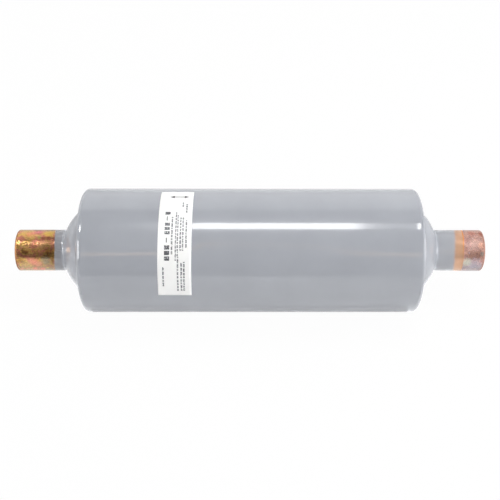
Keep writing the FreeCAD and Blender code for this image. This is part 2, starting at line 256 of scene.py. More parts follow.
@dataclass(frozen=True)
class PaintedCopper(StovedEnamel):
    """A copper fitting, turned from drawn tube, brazed in and sprayed over at its root.

    The flame leaves straw, brown and purple tints in patches a few millimetres wide, with fine
    specks of flux and oxide. The spray thins out over a ragged edge near the root.

    Attributes:
        patches: tints scattered all over, each with its size, its level in the noise and its share.
        stains_and_reflections: single tints, each with its place, how far it reaches and its share: heat
            tints and oxide, and painted reflection of the dark room and the table along the front.
        blot_sway: how much of its reach the noise adds to the distance from a blot's place.
        blot_edge: the sums at which a blot starts and is full, as shares of its reach.
    """

    tints: tuple = ()
    freckle: str = "#6a5134"
    freckle_size: float = 0.9
    freckle_band: tuple = (0.62, 0.70)
    freckle_share: float = 0.7
    cut: str = "#8f6440"
    patches: tuple = ()
    patch_soft: float = 0.07
    stains_and_reflections: tuple = ()
    blot_size: float = 1.2
    blot_sway: float = 2.4
    blot_edge: tuple = (2.45, 1.75)
    # The pale tint on the underside is painted light: the white table's glow and reflection there.
    painted_underlight: str = "#b09468"
    painted_underlight_share: float = 0.5
    painted_underlight_line: tuple = (0.0, -0.35, -0.94)
    painted_underlight_soft: float = 5.0
    root_shade: float = 0.62
    root_reach: float = 5.0
    root_soft: float = 11.0
    root_ragged: float = 1.5
    tint_size: float = 7.0
    grain_size: float = 0.5
    grain_shades: tuple = (0.70, 1.22)
    dull: float = 0.2
    clean: float = 0.7
    mouth_edge: float = 141.4
    mouth_soft: float = 0.8
    mouth_ragged: float = 0.1
    mouth_dull: float = 0.6
    paint_edge: float = 119.5
    edge_sway: tuple = (0.0, 0.0)
    edge_soft: float = 0.5
    edge_ragged: float = 0.5
    edge_waves: float = 3.2
    pit_size: float = 0.95
    pit_height: float = 0.115

    def edge(
        self, add: Adder, where: Socket, place: float, soft: float, ragged: float, sway: tuple = (0.0, 0.0)
    ) -> Node:
        """Draws a ragged ring round the fitting, nearer the shell on one side than on the other.

        Args:
            add: adds a node to the material's tree.
            where: the socket with object coordinates.
            place: the ring's distance from the middle of the drier, in millimetres.
            soft: the width over which it fades, in millimetres.
            ragged: how far its small waves reach, in millimetres.
            sway: how far it moves outward towards +Y and towards +Z, in millimetres.

        Returns:
            A node that is one outside the ring, towards the mouth, and zero inside it.
        """
        parts = add("SeparateXYZ", {"Vector": where})
        along = add("Math", {0: parts.outputs["X"]}, operation="ABSOLUTE")
        slope = (0.0, sway[0] / FITTING_RADIUS, sway[1] / FITTING_RADIUS)
        lean = add("VectorMath", {0: where, 1: slope}, operation="DOT_PRODUCT")
        shifted = add("Math", {0: along, 1: lean}, operation="SUBTRACT")
        wander = add("TexNoise", {"Vector": where, "Scale": per_metre(self.edge_waves), "Detail": 4.0})
        jitter = add("Math", {0: wander, 1: 2 * ragged * MM, 2: -ragged * MM}, operation="MULTIPLY_ADD")
        here = add("Math", {0: shifted, 1: jitter})
        ends = {"From Min": (place - soft / 2) * MM, "From Max": (place + soft / 2) * MM}
        return add("MapRange", {"Value": here, **ends}, interpolation_type="SMOOTHSTEP")

    def layers(self, add: Adder, where: Socket) -> list[tuple[Node, str]]:
        """Lists what lies on the tints, from the lowest up: freckles, painted table light below, patches and
        blots.

        A patch is where a noise of its own rises over its level. A blot is where the distance from
        its place, made uneven by a noise, is less than its reach. Some blots are heat tints and oxide,
        and others are painted reflection of the dark room and the table.

        Args:
            add: adds a node to the material's tree.
            where: the socket with object coordinates.

        Returns:
            The mask and the colour of each.
        """
        spots = add("TexNoise", {"Vector": where, "Scale": per_metre(self.freckle_size), "Detail": 2.0})
        start, full = self.freckle_band
        ends = {"From Min": start, "From Max": full, "To Max": self.freckle_share}
        speck = add("MapRange", {"Value": spots, **ends})
        # Painted light: the tube's lower front, which faces the table, is drawn paler.
        below = add("VectorMath", {0: where, 1: self.painted_underlight_line}, operation="DOT_PRODUCT")
        low = add("MapRange", {"Value": below, "From Max": self.painted_underlight_soft * MM, "To Max": self.painted_underlight_share})
        made = [(speck, self.freckle), (low, self.painted_underlight)]
        for number, (tint, size, level, share) in enumerate(self.patches):
            seen = {"Vector": where, "W": 3.7 * number + 1.3, "Scale": per_metre(size)}
            blots = add("TexNoise", {**seen, "Detail": 3.0, "Roughness": 0.65}, noise_dimensions="4D")
            ends = {"From Min": level, "From Max": level + self.patch_soft, "To Max": share}
            made.append((add("MapRange", {"Value": blots, **ends}), tint))
        # Each blot copies a local colour: part heat tint and oxide, part painted reflection of the dark room
        # and the table.
        for number, (tint, spot, reach, share) in enumerate(self.stains_and_reflections):
            away = add("VectorMath", {0: where, 1: tuple(v * MM for v in spot)}, operation="DISTANCE")
            seen = {"Vector": where, "W": 2.3 * number, "Scale": per_metre(self.blot_size)}
            rough = add("TexNoise", {**seen, "Detail": 5.0, "Roughness": 0.8}, noise_dimensions="4D")
            sway, start, full = (part * reach * MM for part in (self.blot_sway, *self.blot_edge))
            uneven = add("Math", {0: rough, 1: sway, 2: away}, operation="MULTIPLY_ADD")
            ends = {"From Min": start, "From Max": full, "To Max": share}
            made.append((add("MapRange", {"Value": uneven, **ends}), tint))
        return made

    def metal(self, add: Adder, where: Socket) -> tuple[Node, Node]:
        """Works out the bare copper.

        Args:
            add: adds a node to the material's tree.
            where: the socket with object coordinates.

        Returns:
            The nodes of its colour and of its roughness.
        """
        size = per_metre(self.tint_size)
        tint = add("TexNoise", {"Vector": where, "Scale": size, "Detail": 3.0, "Distortion": 0.6})
        colour = add("ValToRGB", {"Fac": tint}, spread(self.tints, 0.30, 0.70))
        for mask, tone in self.layers(add, where):
            colour = add("Mix", {"Factor": mask, "A": colour, "B": tone}, data_type="RGBA")
        # The scale is finer than the render shows, so its grain is drawn half a millimetre wide.
        grain = add("TexNoise", {"Vector": where, "Scale": per_metre(self.grain_size), "Detail": 1.0})
        usual = {"From Min": 0.3, "From Max": 0.7}
        darkest, lightest = self.grain_shades
        shade = add("MapRange", {"Value": grain, **usual, "To Min": darkest, "To Max": lightest})
        # The copper is drawn darker beside the braze, fading out over about a centimetre.
        root = self.edge(add, where, self.paint_edge + self.root_reach, self.root_soft, self.root_ragged)
        root_darkening = add("MapRange", {"Value": root, "To Min": self.root_shade, "To Max": 1.0})
        tone = add("Math", {0: shade, 1: root_darkening}, operation="MULTIPLY")
        grained = add("VectorMath", {0: colour, "Scale": tone}, operation="SCALE")
        end = self.edge(add, where, self.mouth_edge, self.mouth_soft, self.mouth_ragged)
        ended = add("Mix", {"Factor": end, "A": grained, "B": self.cut}, data_type="RGBA")
        ends = {"To Min": self.dull * 0.8, "To Max": self.dull * 1.3}
        rough = add("MapRange", {"Value": tint, **usual, **ends})
        return ended, add("Mix", {"Factor": end, "A": rough, "B": self.mouth_dull}, data_type="FLOAT")

    def surface(self, add: Adder, where: Socket) -> Node:
        """Builds copper and enamel with the spray's edge between them.

        Args:
            add: adds a node to the material's tree.
            where: the socket with object coordinates.

        Returns:
            The shader.
        """
        paint, peel = self.coat(add, where)
        copper, rough = self.metal(add, where)
        bare = self.edge(add, where, self.paint_edge, self.edge_soft, self.edge_ragged, self.edge_sway)
        colour = add("Mix", {"Factor": bare, "A": paint, "B": copper}, data_type="RGBA")
        gloss = add("Mix", {"Factor": bare, "A": self.roughness, "B": rough}, data_type="FLOAT")
        # Scale and pits roughen the copper's own surface and make the softbox's line uneven.
        pits = add("TexNoise", {"Vector": where, "Scale": per_metre(self.pit_size), "Detail": 1.5})
        height = add("Math", {0: pits, 1: bare}, operation="MULTIPLY")
        depth = self.pit_height * MM
        rugged = add("Bump", {"Height": height, "Strength": 1.0, "Distance": depth, "Normal": peel})
        # Oxide scatters part of the light, so the copper is metallic only in part.
        metallic = add("Math", {0: bare, 1: self.clean}, operation="MULTIPLY")
        looks = {"Base Color": colour, "Metallic": metallic, "Roughness": gloss, "Normal": rugged}
        return add("BsdfPrincipled", {**looks, "IOR": self.refraction})


@dataclass(frozen=True)
class BandedCopper(PaintedCopper):
    """The same fitting with a clean, bright band of copper left between the spray and the oxide."""

    band_tints: tuple = ()
    band_size: float = 9.0
    band_edge: float = 130.6
    band_soft: float = 0.35
    band_ragged: float = 0.35
    band_sway: tuple = (0.0, 0.0)
    band_dull: float = 0.24
    # The rim is a painted highlight along the clean band's edge.
    rim: str = "#ee9a50"
    rim_width: float = 0.7
    rim_soft: float = 0.5
    rim_line: tuple = (0.0, 0.766, 0.643)
    rim_fade: tuple = (-4.0, 6.0)
    rim_least: float = 0.15

    def metal(self, add: Adder, where: Socket) -> tuple[Node, Node]:
        """Adds the clean band inside the oxide.

        Args:
            add: adds a node to the material's tree.
            where: the socket with object coordinates.

        Returns:
            The nodes of the copper's colour and of its roughness.
        """
        dull_colour, dull_rough = super().metal(add, where)
        soft = add("TexNoise", {"Vector": where, "Scale": per_metre(self.band_size), "Detail": 2.0})
        clean = add("ValToRGB", {"Fac": soft}, spread(self.band_tints, 0.35, 0.65))
        inner_edge, way = self.band_edge - self.rim_width, (self.band_ragged, self.band_sway)
        outer = self.edge(add, where, self.band_edge, self.band_soft, *way)
        early = self.edge(add, where, inner_edge, self.rim_soft, *way)
        ring = add("Math", {0: early, 1: outer}, operation="SUBTRACT", use_clamp=True)
        # Painted highlight: the orange line on the band's step edge is brightest at the back and top, towards
        # the overhead light, and fades out in front.
        back = add("VectorMath", {0: where, 1: self.rim_line}, operation="DOT_PRODUCT")
        front, rear = (place * MM for place in self.rim_fade)
        ends = {"From Min": front, "From Max": rear, "To Min": self.rim_least, "To Max": 1.0}
        glow = add("Math", {0: ring, 1: add("MapRange", {"Value": back, **ends})}, operation="MULTIPLY")
        lined = add("Mix", {"Factor": glow, "A": clean, "B": self.rim}, data_type="RGBA")
        colour = add("Mix", {"Factor": outer, "A": lined, "B": dull_colour}, data_type="RGBA")
        return colour, add("Mix", {"Factor": outer, "A": self.band_dull, "B": dull_rough}, data_type="FLOAT")


@dataclass(frozen=True)
class GrainedMetal(Finish):
    """Metal with a grain drawn out along one axis, such as rolled sheet or drawn wire.

    The grain breaks up the reflections into fine streaks, and a soft mottle makes the plating or
    the phosphate uneven. Sizes are in millimetres.
    """

    light: str = "#b9b9b4"
    dark: str = "#8f8f8c"
    mottle: float = 5.0
    grain: tuple = (0.6, 0.6, 8.0)
    roughness: float = 0.35
    depth: float = 0.004

    def surface(self, add: Adder, where: Socket) -> Node:
        """Builds the metal.

        Args:
            add: adds a node to the material's tree.
            where: the socket with object coordinates.

        Returns:
            The shader.
        """
        drawn = add("Mapping", {"Vector": where, "Scale": tuple(per_metre(g) for g in self.grain)})
        streak = add("TexNoise", {"Vector": drawn, "Scale": 1.0, "Detail": 3.0})
        mottle = add("TexNoise", {"Vector": where, "Scale": per_metre(self.mottle), "Detail": 4.0})
        colour = add("ValToRGB", {"Fac": mottle}, spread((self.dark, self.light), 0.35, 0.65))
        ends = {"To Min": self.roughness * 0.7, "To Max": self.roughness * 1.3}
        rough = add("MapRange", {"Value": streak, **ends})
        bump = add("Bump", {"Height": streak, "Strength": 1.0, "Distance": self.depth * MM})
        looks = {"Base Color": colour, "Roughness": rough, "Normal": bump}
        return add("BsdfPrincipled", {**looks, "Metallic": 1.0})


@dataclass(frozen=True)
class BondedGrain(Finish):
    """Grains or fibres pressed together, matt and rough to the eye.

    Each grain is a cell a little lighter or darker than the next, with a groove round it. Sizes are
    in millimetres.
    """

    light: str = "#d2c8b2"
    dark: str = "#a99c82"
    grain: tuple = (1.6, 1.6, 1.6)
    depth: float = 0.25
    roughness: float = 0.9
    sheen: float = 0.0

    def surface(self, add: Adder, where: Socket) -> Node:
        """Builds the grains.

        Args:
            add: adds a node to the material's tree.
            where: the socket with object coordinates.

        Returns:
            The shader.
        """
        scaled = add("Mapping", {"Vector": where, "Scale": tuple(per_metre(g) for g in self.grain)})
        cells = add("TexVoronoi", {"Vector": scaled, "Scale": 1.0})
        tone = add("SeparateColor", {"Color": cells.outputs["Color"]})
        colour = add("ValToRGB", {"Fac": tone}, spread((self.dark, self.light), 0.1, 0.9))
        bump = add("Bump", {"Height": cells, "Strength": 1.0, "Distance": self.depth * MM}, invert=True)
        looks = {"Base Color": colour, "Roughness": self.roughness, "Normal": bump}
        return add("BsdfPrincipled", {**looks, "Sheen Weight": self.sheen})


@dataclass(frozen=True)
class LabelFilm(Finish):
    """White polypropylene film, cast, with a satin coat and print pressed on from a ribbon.

    The print's strokes are too fine to see one by one, so it is drawn as broken dashes about as
    wide as the real strokes are tall.

    Attributes:
        stroke: the size of its dashes, in millimetres.
        cover: how much of the print is ink: below zero none of it, above one all of it.
        edges: the noise's levels under which a dash is full and over which it is bare, at cover zero.
        rise: how far both levels rise from cover zero to cover one.
    """

    film: str = "#fcfcfb"
    haze: str = "#f8f8f7"
    ink: str = "#fcfcfb"
    stroke: float = 0.55
    cover: float = -1.0
    edges: tuple = (0.34, 0.40)
    rise: float = 0.36
    haze_size: float = 6.0
    haze_depth: float = 0.01
    roughness: float = 0.42
    refraction: float = 1.49

    def surface(self, add: Adder, where: Socket) -> Node:
        """Builds film with its print.

        Args:
            add: adds a node to the material's tree.
            where: the socket with object coordinates.

        Returns:
            The shader.
        """
        strokes = add("TexNoise", {"Vector": where, "Scale": per_metre(self.stroke), "Detail": 0.0})
        full, none = (edge + self.rise * self.cover for edge in self.edges)
        printed = add("MapRange", {"Value": strokes, "From Min": none, "From Max": full})
        haze = add("TexNoise", {"Vector": where, "Scale": per_metre(self.haze_size), "Detail": 2.0})
        bare = add("ValToRGB", {"Fac": haze}, spread((self.haze, self.film), 0.3, 0.7))
        colour = add("Mix", {"Factor": printed, "A": bare, "B": self.ink}, data_type="RGBA")
        bump = add("Bump", {"Height": haze, "Strength": 1.0, "Distance": self.haze_depth * MM})
        looks = {"Base Color": colour, "Normal": bump, "Roughness": self.roughness}
        return add("BsdfPrincipled", {**looks, "IOR": self.refraction})


ENAMEL = StovedEnamel("grey enamel, sprayed and stoved")
BRAZE_ENAMEL = StovedEnamel("grey enamel over the braze", cloud=6.0, wave=3.0, nib=5.0)
LEFT_COPPER = PaintedCopper(
    "copper fitting, heat tinted",
    tints=("#7f5838", "#b88a4a", "#cea35e", "#c48a62", "#bc7262", "#b47e50", "#8c7852"),
    patches=(
        ("#d98a76", 3.4, 0.56, 0.9),
        ("#dcb868", 2.6, 0.59, 0.75),
        ("#8a8756", 2.2, 0.61, 0.75),
        ("#b45c6c", 1.8, 0.63, 0.7),
        ("#5e4434", 1.2, 0.65, 0.7),
    ),
    # The dark blots along the front are painted reflection of the dark room, and the pale ones low on the
    # front are painted reflection of the table. The rest are heat tints.
    stains_and_reflections=(
        ("#d2aa54", (-138.0, 3.4, 12.2), 3.0, 0.4),
        ("#dc8c66", (-134.2, 2.4, 12.4), 2.4, 0.7),
        ("#c46c74", (-129.2, 4.6, 11.8), 1.8, 0.8),
        ("#9a9254", (-128.0, -0.2, 12.6), 1.4, 0.75),
        ("#dcb44e", (-122.7, 2.8, 12.3), 3.2, 0.8),
        ("#96503a", (-125.6, -1.0, 12.6), 1.4, 0.75),
        ("#96503a", (-122.4, -1.0, 12.6), 1.4, 0.75),
        ("#c08a6c", (-125.0, -5.4, 11.4), 2.4, 0.5),
        ("#6c4428", (-130.0, -9.8, 8.0), 3.6, 0.3),
        ("#5c3826", (-122.8, -9.2, 8.6), 4.2, 0.42),
        ("#7c5632", (-136.5, -9.8, 8.0), 3.0, 0.3),
        ("#e0937c", (-131.8, -12.2, 3.4), 2.6, 0.75),
        ("#dd9a82", (-128.3, -12.5, 1.9), 2.2, 0.65),
        ("#969280", (-123.8, -12.0, 4.1), 3.0, 0.7),
        ("#cdb484", (-135.8, -12.5, 1.9), 3.4, 0.3),
    ),
    # Painted table light on the underside.
    painted_underlight="#ac9a7c",
    painted_underlight_share=0.6,
    root_shade=0.70,
    # The spray is drawn darker than the shell's enamel: partly thin paint over copper, partly painted shade
    # at the dimmer left end.
    colour="#9b9ba0",
    thin="#939397",
    freckle="#55452c",
    dull=0.19,
    paint_edge=120.1,
    edge_sway=(1.0, -1.35),
    edge_soft=0.9,
)
RIGHT_COPPER = BandedCopper(
    "copper fitting, clean band and dull oxide",
    tints=("#a0736a", "#b98c7c", "#c99f90", "#b58880", "#b0948e"),
    patches=(
        ("#dcb0a0", 3.0, 0.55, 0.75),
        ("#b0685f", 1.9, 0.60, 0.75),
        ("#8a6f66", 2.4, 0.60, 0.6),
        ("#c4b4c4", 1.3, 0.61, 0.8),
    ),
    # The dark blots along the front are painted reflection of the dark room, and the pale ones low on the
    # front are painted reflection of the table. The rest are oxide and tints.
    stains_and_reflections=(
        ("#dcbab2", (135.5, -6.0, 11.1), 4.4, 0.42),
        ("#e2ac94", (139.8, -5.3, 11.5), 2.0, 0.7),
        ("#7c5242", (134.6, -10.2, 7.5), 3.4, 0.42),
        ("#7c5242", (138.6, -10.2, 7.5), 2.4, 0.4),
        ("#8e8e88", (140.6, -9.6, 8.2), 1.3, 0.7),
        ("#b0604e", (135.2, 3.6, 12.1), 2.4, 0.55),
        ("#a4523e", (141.2, 2.9, 12.3), 2.0, 0.7),
        ("#b4aebe", (136.6, -12.4, 2.2), 4.2, 0.55),
        ("#c6ccbc", (131.6, -12.2, 3.2), 3.0, 0.7),
    ),
    # Painted table light on the underside.
    painted_underlight="#a3a0a6",
    painted_underlight_share=0.75,
    root_shade=1.0,
    # The spray is drawn a little lighter than the shell's enamel: painted light at the brighter right end.
    colour="#abadb3",
    thin="#a6a8ae",
    clean=0.35,
    freckle="#8a6f6c",
    cut="#a87a6a",
    tint_size=5.0,
    dull=0.34,
    paint_edge=126.0,
    edge_sway=(1.7, -1.3),
    edge_soft=2.2,
    pit_height=0.05,
    band_tints=("#c99f80", "#d2a688", "#d9b095"),
    band_edge=130.65,
    band_sway=(1.1, -0.7),
)
BARE_STEEL = GrainedMetal(
    "steel sheet, drawn and phosphated", light="#7d7d7b", dark="#5f6061", grain=(9.0, 0.8, 0.8), roughness=0.5
)
PLATED_STEEL = GrainedMetal("steel sheet, stamped and zinc plated")
SPRING_WIRE = GrainedMetal(
    "spring wire, drawn and oil tempered", light="#5d5f63", dark="#3f4145", mottle=2.0, grain=(0.4, 0.4, 0.4)
)
DESICCANT = BondedGrain("desiccant beads, bonded and baked")
FIBRE = BondedGrain(
    "gasket fibre, calendered", light="#5d625f", dark="#3f4442", grain=(0.5, 2.2, 2.2), depth=0.05
)
FELT = BondedGrain(
    "polyester felt, needled", light="#ebe8e0", dark="#d2cec4", grain=(0.5, 1.8, 0.6), depth=0.2, sheen=0.3
)
FILM = LabelFilm("label film, cast and coated")
BOLD_INK = LabelFilm("label print, bold", ink="#55565b", cover=0.9)
FINE_INK = LabelFilm("label print, fine", ink="#77787d", stroke=0.42, cover=0.8)
SOLID_INK = LabelFilm("label print, solid", ink="#3a3b3f", cover=1.6)


@dataclass
class Profile:
    """A closed outline in the plane of X and radius, in millimetres, to be turned about X.

    Attributes:
        points: its corners so far.
        skins: the skin of the stretch that ends at each corner.
        guard: how far a long stretch's guard corners stand from its ends.
    """

    points: list = field(default_factory=list)
    skins: list = field(default_factory=list)
    guard: float = 0.3

    def add(self, points: np.ndarray, skin: Skin) -> "Profile":
        """Adds corners, given as rows of X and radius, all in one skin."""
        self.points.append(np.asarray(points, float))
        self.skins.append(np.full(len(points), skin.value))
        return self

    def line(self, x: float, r: float, skin: Skin = Skin.OUTSIDE) -> "Profile":
        """Adds the corner at x and r, with a straight stretch up to it in the given skin."""
        return self.add([[x, r]], skin)

    def run(self, x: float, r: float) -> "Profile":
        """Adds a long straight stretch up to x and r, with a guard corner near each end.

        Those corners keep the smooth shading of the bends beside it from spreading along it.

        Args:
            x: the place of its end along the axis.
            r: the radius of its end.

        Returns:
            The profile itself.
        """
        start, end = self.points[-1][-1], np.array([x, r], float)
        step = (end - start) * self.guard / np.hypot(*(end - start))
        return self.add([start + step, end - step, end], Skin.OUTSIDE)

    def arc(self, middle: tuple, end: tuple, skin: Skin = Skin.OUTSIDE, step: float = 4.0) -> "Profile":
        """Adds the shorter arc about middle, from the last corner to end: middle plus a turning radius.

        Args:
            middle: its centre.
            end: its last point.
            skin: the skin of the arc.
            step: the largest turn between two points, in degrees.

        Returns:
            The profile itself.
        """
        centre = np.array(middle, float)
        first, last = self.points[-1][-1] - centre, np.array(end, float) - centre
        start = math.atan2(first[1], first[0])
        sweep = (math.atan2(last[1], last[0]) - start + math.pi) % (2 * math.pi) - math.pi
        count = max(2, math.ceil(abs(math.degrees(sweep)) / step))
        share = np.arange(1, count + 1) / count
        reach = np.hypot(*first) * (1 - share) + np.hypot(*last) * share
        turn = start + sweep * share
        return self.add(centre + np.stack([reach * np.cos(turn), reach * np.sin(turn)], 1), skin)

    def on(self, side: Side) -> "Profile":
        """Gives the profile as it is on the right, or mirrored on the left."""
        return Profile([p * np.array([side.value, 1.0]) for p in self.points], list(self.skins))


def grid_faces(rows: int, columns: int, closed: bool) -> np.ndarray:
    """Numbers the quads of a grid: each joins a corner to the next along the row and along the column.

    Args:
        rows: corners along the first parameter.
        columns: corners along the second parameter.
        closed: whether the last row joins the first and the last column the first.

    Returns:
        An array of quads, four corner numbers each.
    """
    i = np.arange(rows if closed else rows - 1)[:, None]
    j = np.arange(columns if closed else columns - 1)
    after_i, after_j = (i + 1) % rows, (j + 1) % columns
    quads = [i * columns + j, after_i * columns + j, after_i * columns + after_j, i * columns + after_j]
    return np.stack(quads, -1).reshape(-1, 4)


def mesh_piece(
    name: str,
    grid: np.ndarray,
    finishes: list,
    skins: np.ndarray | int = 0,
    closed: bool = False,
    flip: bool = False,
) -> Piece:
    """Puts a grid of points into a mesh object at the origin, smooth but for its real edges.

    Args:
        name: the piece's name.
        grid: its points in millimetres, as rows, columns and coordinates.
        finishes: its materials.
        skins: the number of each face's material, or of all.
        closed: whether the grid joins up both ways.
        flip: whether the faces turn over.

    Returns:
        The object, linked to the scene.
    """
    faces = grid_faces(*grid.shape[:2], closed).astype(np.int32)
    faces = faces[:, ::-1] if flip else faces
    mesh = bpy.data.meshes.new(name)
    mesh.vertices.add(grid.size // 3)
    mesh.vertices.foreach_set("co", (grid * MM).astype(np.float32).ravel())
    mesh.loops.add(faces.size)
    mesh.loops.foreach_set("vertex_index", faces.ravel())
    mesh.polygons.add(len(faces))
    mesh.polygons.foreach_set("loop_start", np.arange(0, faces.size, 4, dtype=np.int32))
    mesh.polygons.foreach_set("material_index", np.broadcast_to(skins, len(faces)).astype(np.int32))
    mesh.polygons.foreach_set("use_smooth", np.ones(len(faces), bool))
    mesh.update(calc_edges=True)
    mesh.set_sharp_from_angle(angle=SHARP_EDGE)
    for finish in finishes:
        mesh.materials.append(finish)
    piece = bpy.data.objects.new(name, mesh)
    bpy.context.scene.collection.objects.link(piece)
    return piece


def turned(name: str, profile: Profile, segments: int, finishes: list) -> Piece:
    """Turns a closed profile about X: a point at (x, r) and turn t is at (x, r cos t, r sin t).

    Args:
        name: the piece's name.
        profile: its closed outline.
        segments: steps round the axis.
        finishes: its materials, in the order of Skin.

    Returns:
        The object, a closed solid with its faces outward.
    """
    x, r = np.concatenate(profile.points).T
    area = np.sum(x * np.roll(r, -1) - np.roll(x, -1) * r) / 2
    turn = np.linspace(0, 2 * math.pi, segments, endpoint=False)
    skins = np.repeat(np.roll(np.concatenate(profile.skins), -1), segments)
    grid = carried(x, r[:, None] * np.cos(turn), r[:, None] * np.sin(turn))
    return mesh_piece(name, grid, finishes, skins, closed=True, flip=area < 0)


def carried(x: tuple | np.ndarray, y: np.ndarray, z: float | np.ndarray) -> np.ndarray:
    """Makes a grid with a row for each x, and in it a point for each pair of y and z."""
    return np.stack(np.broadcast_arrays(np.asarray(x, float)[:, None], y, z), -1)


def around(turn: float | np.ndarray, reach: float) -> tuple:
    """Gives Y and Z at a turn over the front, in degrees: -reach cos turn and reach sin turn."""
    return -reach * np.cos(np.radians(turn)), reach * np.sin(np.radians(turn))


def place(piece: Piece, slot: str, *nodes: str) -> None:
    """Makes a piece ride on the housing and hides the solids that it stands for.

    Args:
        piece: the piece.
        slot: the name of a material slot; not used.
        nodes: the solids.
    """
    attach(piece, HOUSING)
    if nodes:
        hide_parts(*nodes)


@dataclass
class EnamelledShell:
    """The welded pressure shell: can, end cap, the weld between them and the brazed necks."""

    radius: float = SHELL_RADIUS
    wall: float = 1.5
    right_corner: float = 2.8
    left_corner: float = 3.6
    shoulder: float = 101.5
    dome_middle: float = 82.849
    dome_radius: float = 32.651
    fillet: float = 1.8
    fillet_middle: tuple = (103.3, 27.724)
    seam: float = 92.5
    seam_land: float = 0.4
    seam_groove: float = 1.3
    fitting_radius: float = FITTING_RADIUS
    hole_radius: float = 12.70
    braze_bevel: float = 0.6
    braze_width: float = 1.15
    segments: int = 256
    braze_segments: int = 192

    def dome_at(self, r: float, depth: float) -> tuple[float, float]:
        """Gives the point of the dome at radius r: its centre plus the leg left by r of its radius."""
        return (self.dome_middle + math.sqrt((self.dome_radius - depth) ** 2 - r**2), r)

    def fillet_foot(self, depth: float) -> tuple[float, float]:
        """Gives the point where the fillet touches the dome, on the line between their centres."""
        x, r = self.fillet_middle
        share = (self.fillet + depth) / math.hypot(x - self.dome_middle, r)
        return (x + (self.dome_middle - x) * share, r - r * share)

    def bevel(self) -> tuple[tuple[float, float], tuple[float, float]]:
        """Gives the top and the root of the bevel on the hole's edge."""
        top = self.dome_at(self.hole_radius + self.braze_bevel, 0)
        return top, (top[0] - self.braze_bevel, self.hole_radius)

    def end(self, profile: Profile, corner: float) -> Profile:
        """Carries a profile round the corner, over shoulder, fillet and dome to the hole, and back inside.

        Args:
            profile: the profile so far, on the shell's outside.
            corner: the corner's radius.

        Returns:
            The finished profile.
        """
        dome, inside = (self.dome_middle, 0.0), Skin.INSIDE
        round_middle = (self.shoulder - corner, self.radius - corner)
        top, root = self.bevel()
        profile.run(self.shoulder - corner, self.radius)
        profile.arc(round_middle, (self.shoulder, self.radius - corner), step=5)
        profile.run(self.shoulder, self.fillet_middle[1])
        profile.arc(self.fillet_middle, self.fillet_foot(0), step=5)
        profile.arc(dome, top, step=1.5)
        profile.line(*root)
        profile.line(*self.dome_at(self.hole_radius, self.wall))
        profile.arc(dome, self.fillet_foot(self.wall), inside, step=2)
        profile.arc(self.fillet_middle, (self.shoulder - self.wall, self.fillet_middle[1]), inside, step=8)
        profile.line(self.shoulder - self.wall, self.radius - corner, inside)
        return profile.arc(round_middle, (self.shoulder - corner, self.radius - self.wall), inside, step=10)

    def rim(self, seam: float) -> Profile:
        """Starts a profile at the edge of a mouth, with its land and the groove cut for the weld."""
        bore = self.radius - self.wall
        started = Profile().line(seam, bore, Skin.INSIDE).line(seam, bore + self.seam_land)
        return started.line(seam + self.seam_groove, self.radius)

    def weld(self) -> Profile:
        """Draws the weld: a wedge from the land up to the shell's face."""
        root = Profile().line(-self.seam, self.radius - self.wall + self.seam_land)
        root.line(-self.seam + self.seam_groove, self.radius)
        return root.line(-self.seam - self.seam_groove, self.radius)

    def braze(self) -> Profile:
        """Draws the braze: it fills the bevel and runs in a hollow from the dome up to the fitting.

        Returns:
            The profile on the right-hand side.
        """
        top, root = self.bevel()
        foot = self.dome_at(self.fitting_radius + self.braze_width, 0)
        hollow = self.braze_width * self.dome_radius / (self.dome_radius - foot[1])
        height = self.fitting_radius + hollow
        middle = (self.dome_middle + math.sqrt((self.dome_radius + hollow) ** 2 - height**2), height)
        profile = Profile().line(root[0], self.fitting_radius).line(*root).line(*top)
        profile.arc((self.dome_middle, 0.0), foot, step=1.5)
        return profile.arc(middle, (middle[0], self.fitting_radius), step=4)

    def build(self) -> list[Piece]:
        """Builds the shell's pieces and puts each in place of its solid.

        Returns:
            The pieces.
        """
        skins = [ENAMEL.material(), BARE_STEEL.material()]
        braze = [BRAZE_ENAMEL.material()]
        can = self.end(self.rim(-self.seam), self.right_corner)
        cap = self.end(self.rim(self.seam), self.left_corner).on(Side.LEFT)
        parts = [
            ("shell_can", "shell_body", can, self.segments, skins),
            ("shell_cap", "end_cap", cap, self.segments, skins),
            ("seam_weld", "closing_weld", self.weld(), self.segments, skins),
        ]
        for side in Side:
            names = (f"{side.word}_braze_ring", f"{side.word}_braze_fillet")
            parts.append((*names, self.braze().on(side), self.braze_segments, braze))
        made = []
        for name, node, profile, segments, finishes in parts:
            made.append(turned(name, profile, segments, finishes))
            place(made[-1], "grey_enamel", node)
        return made


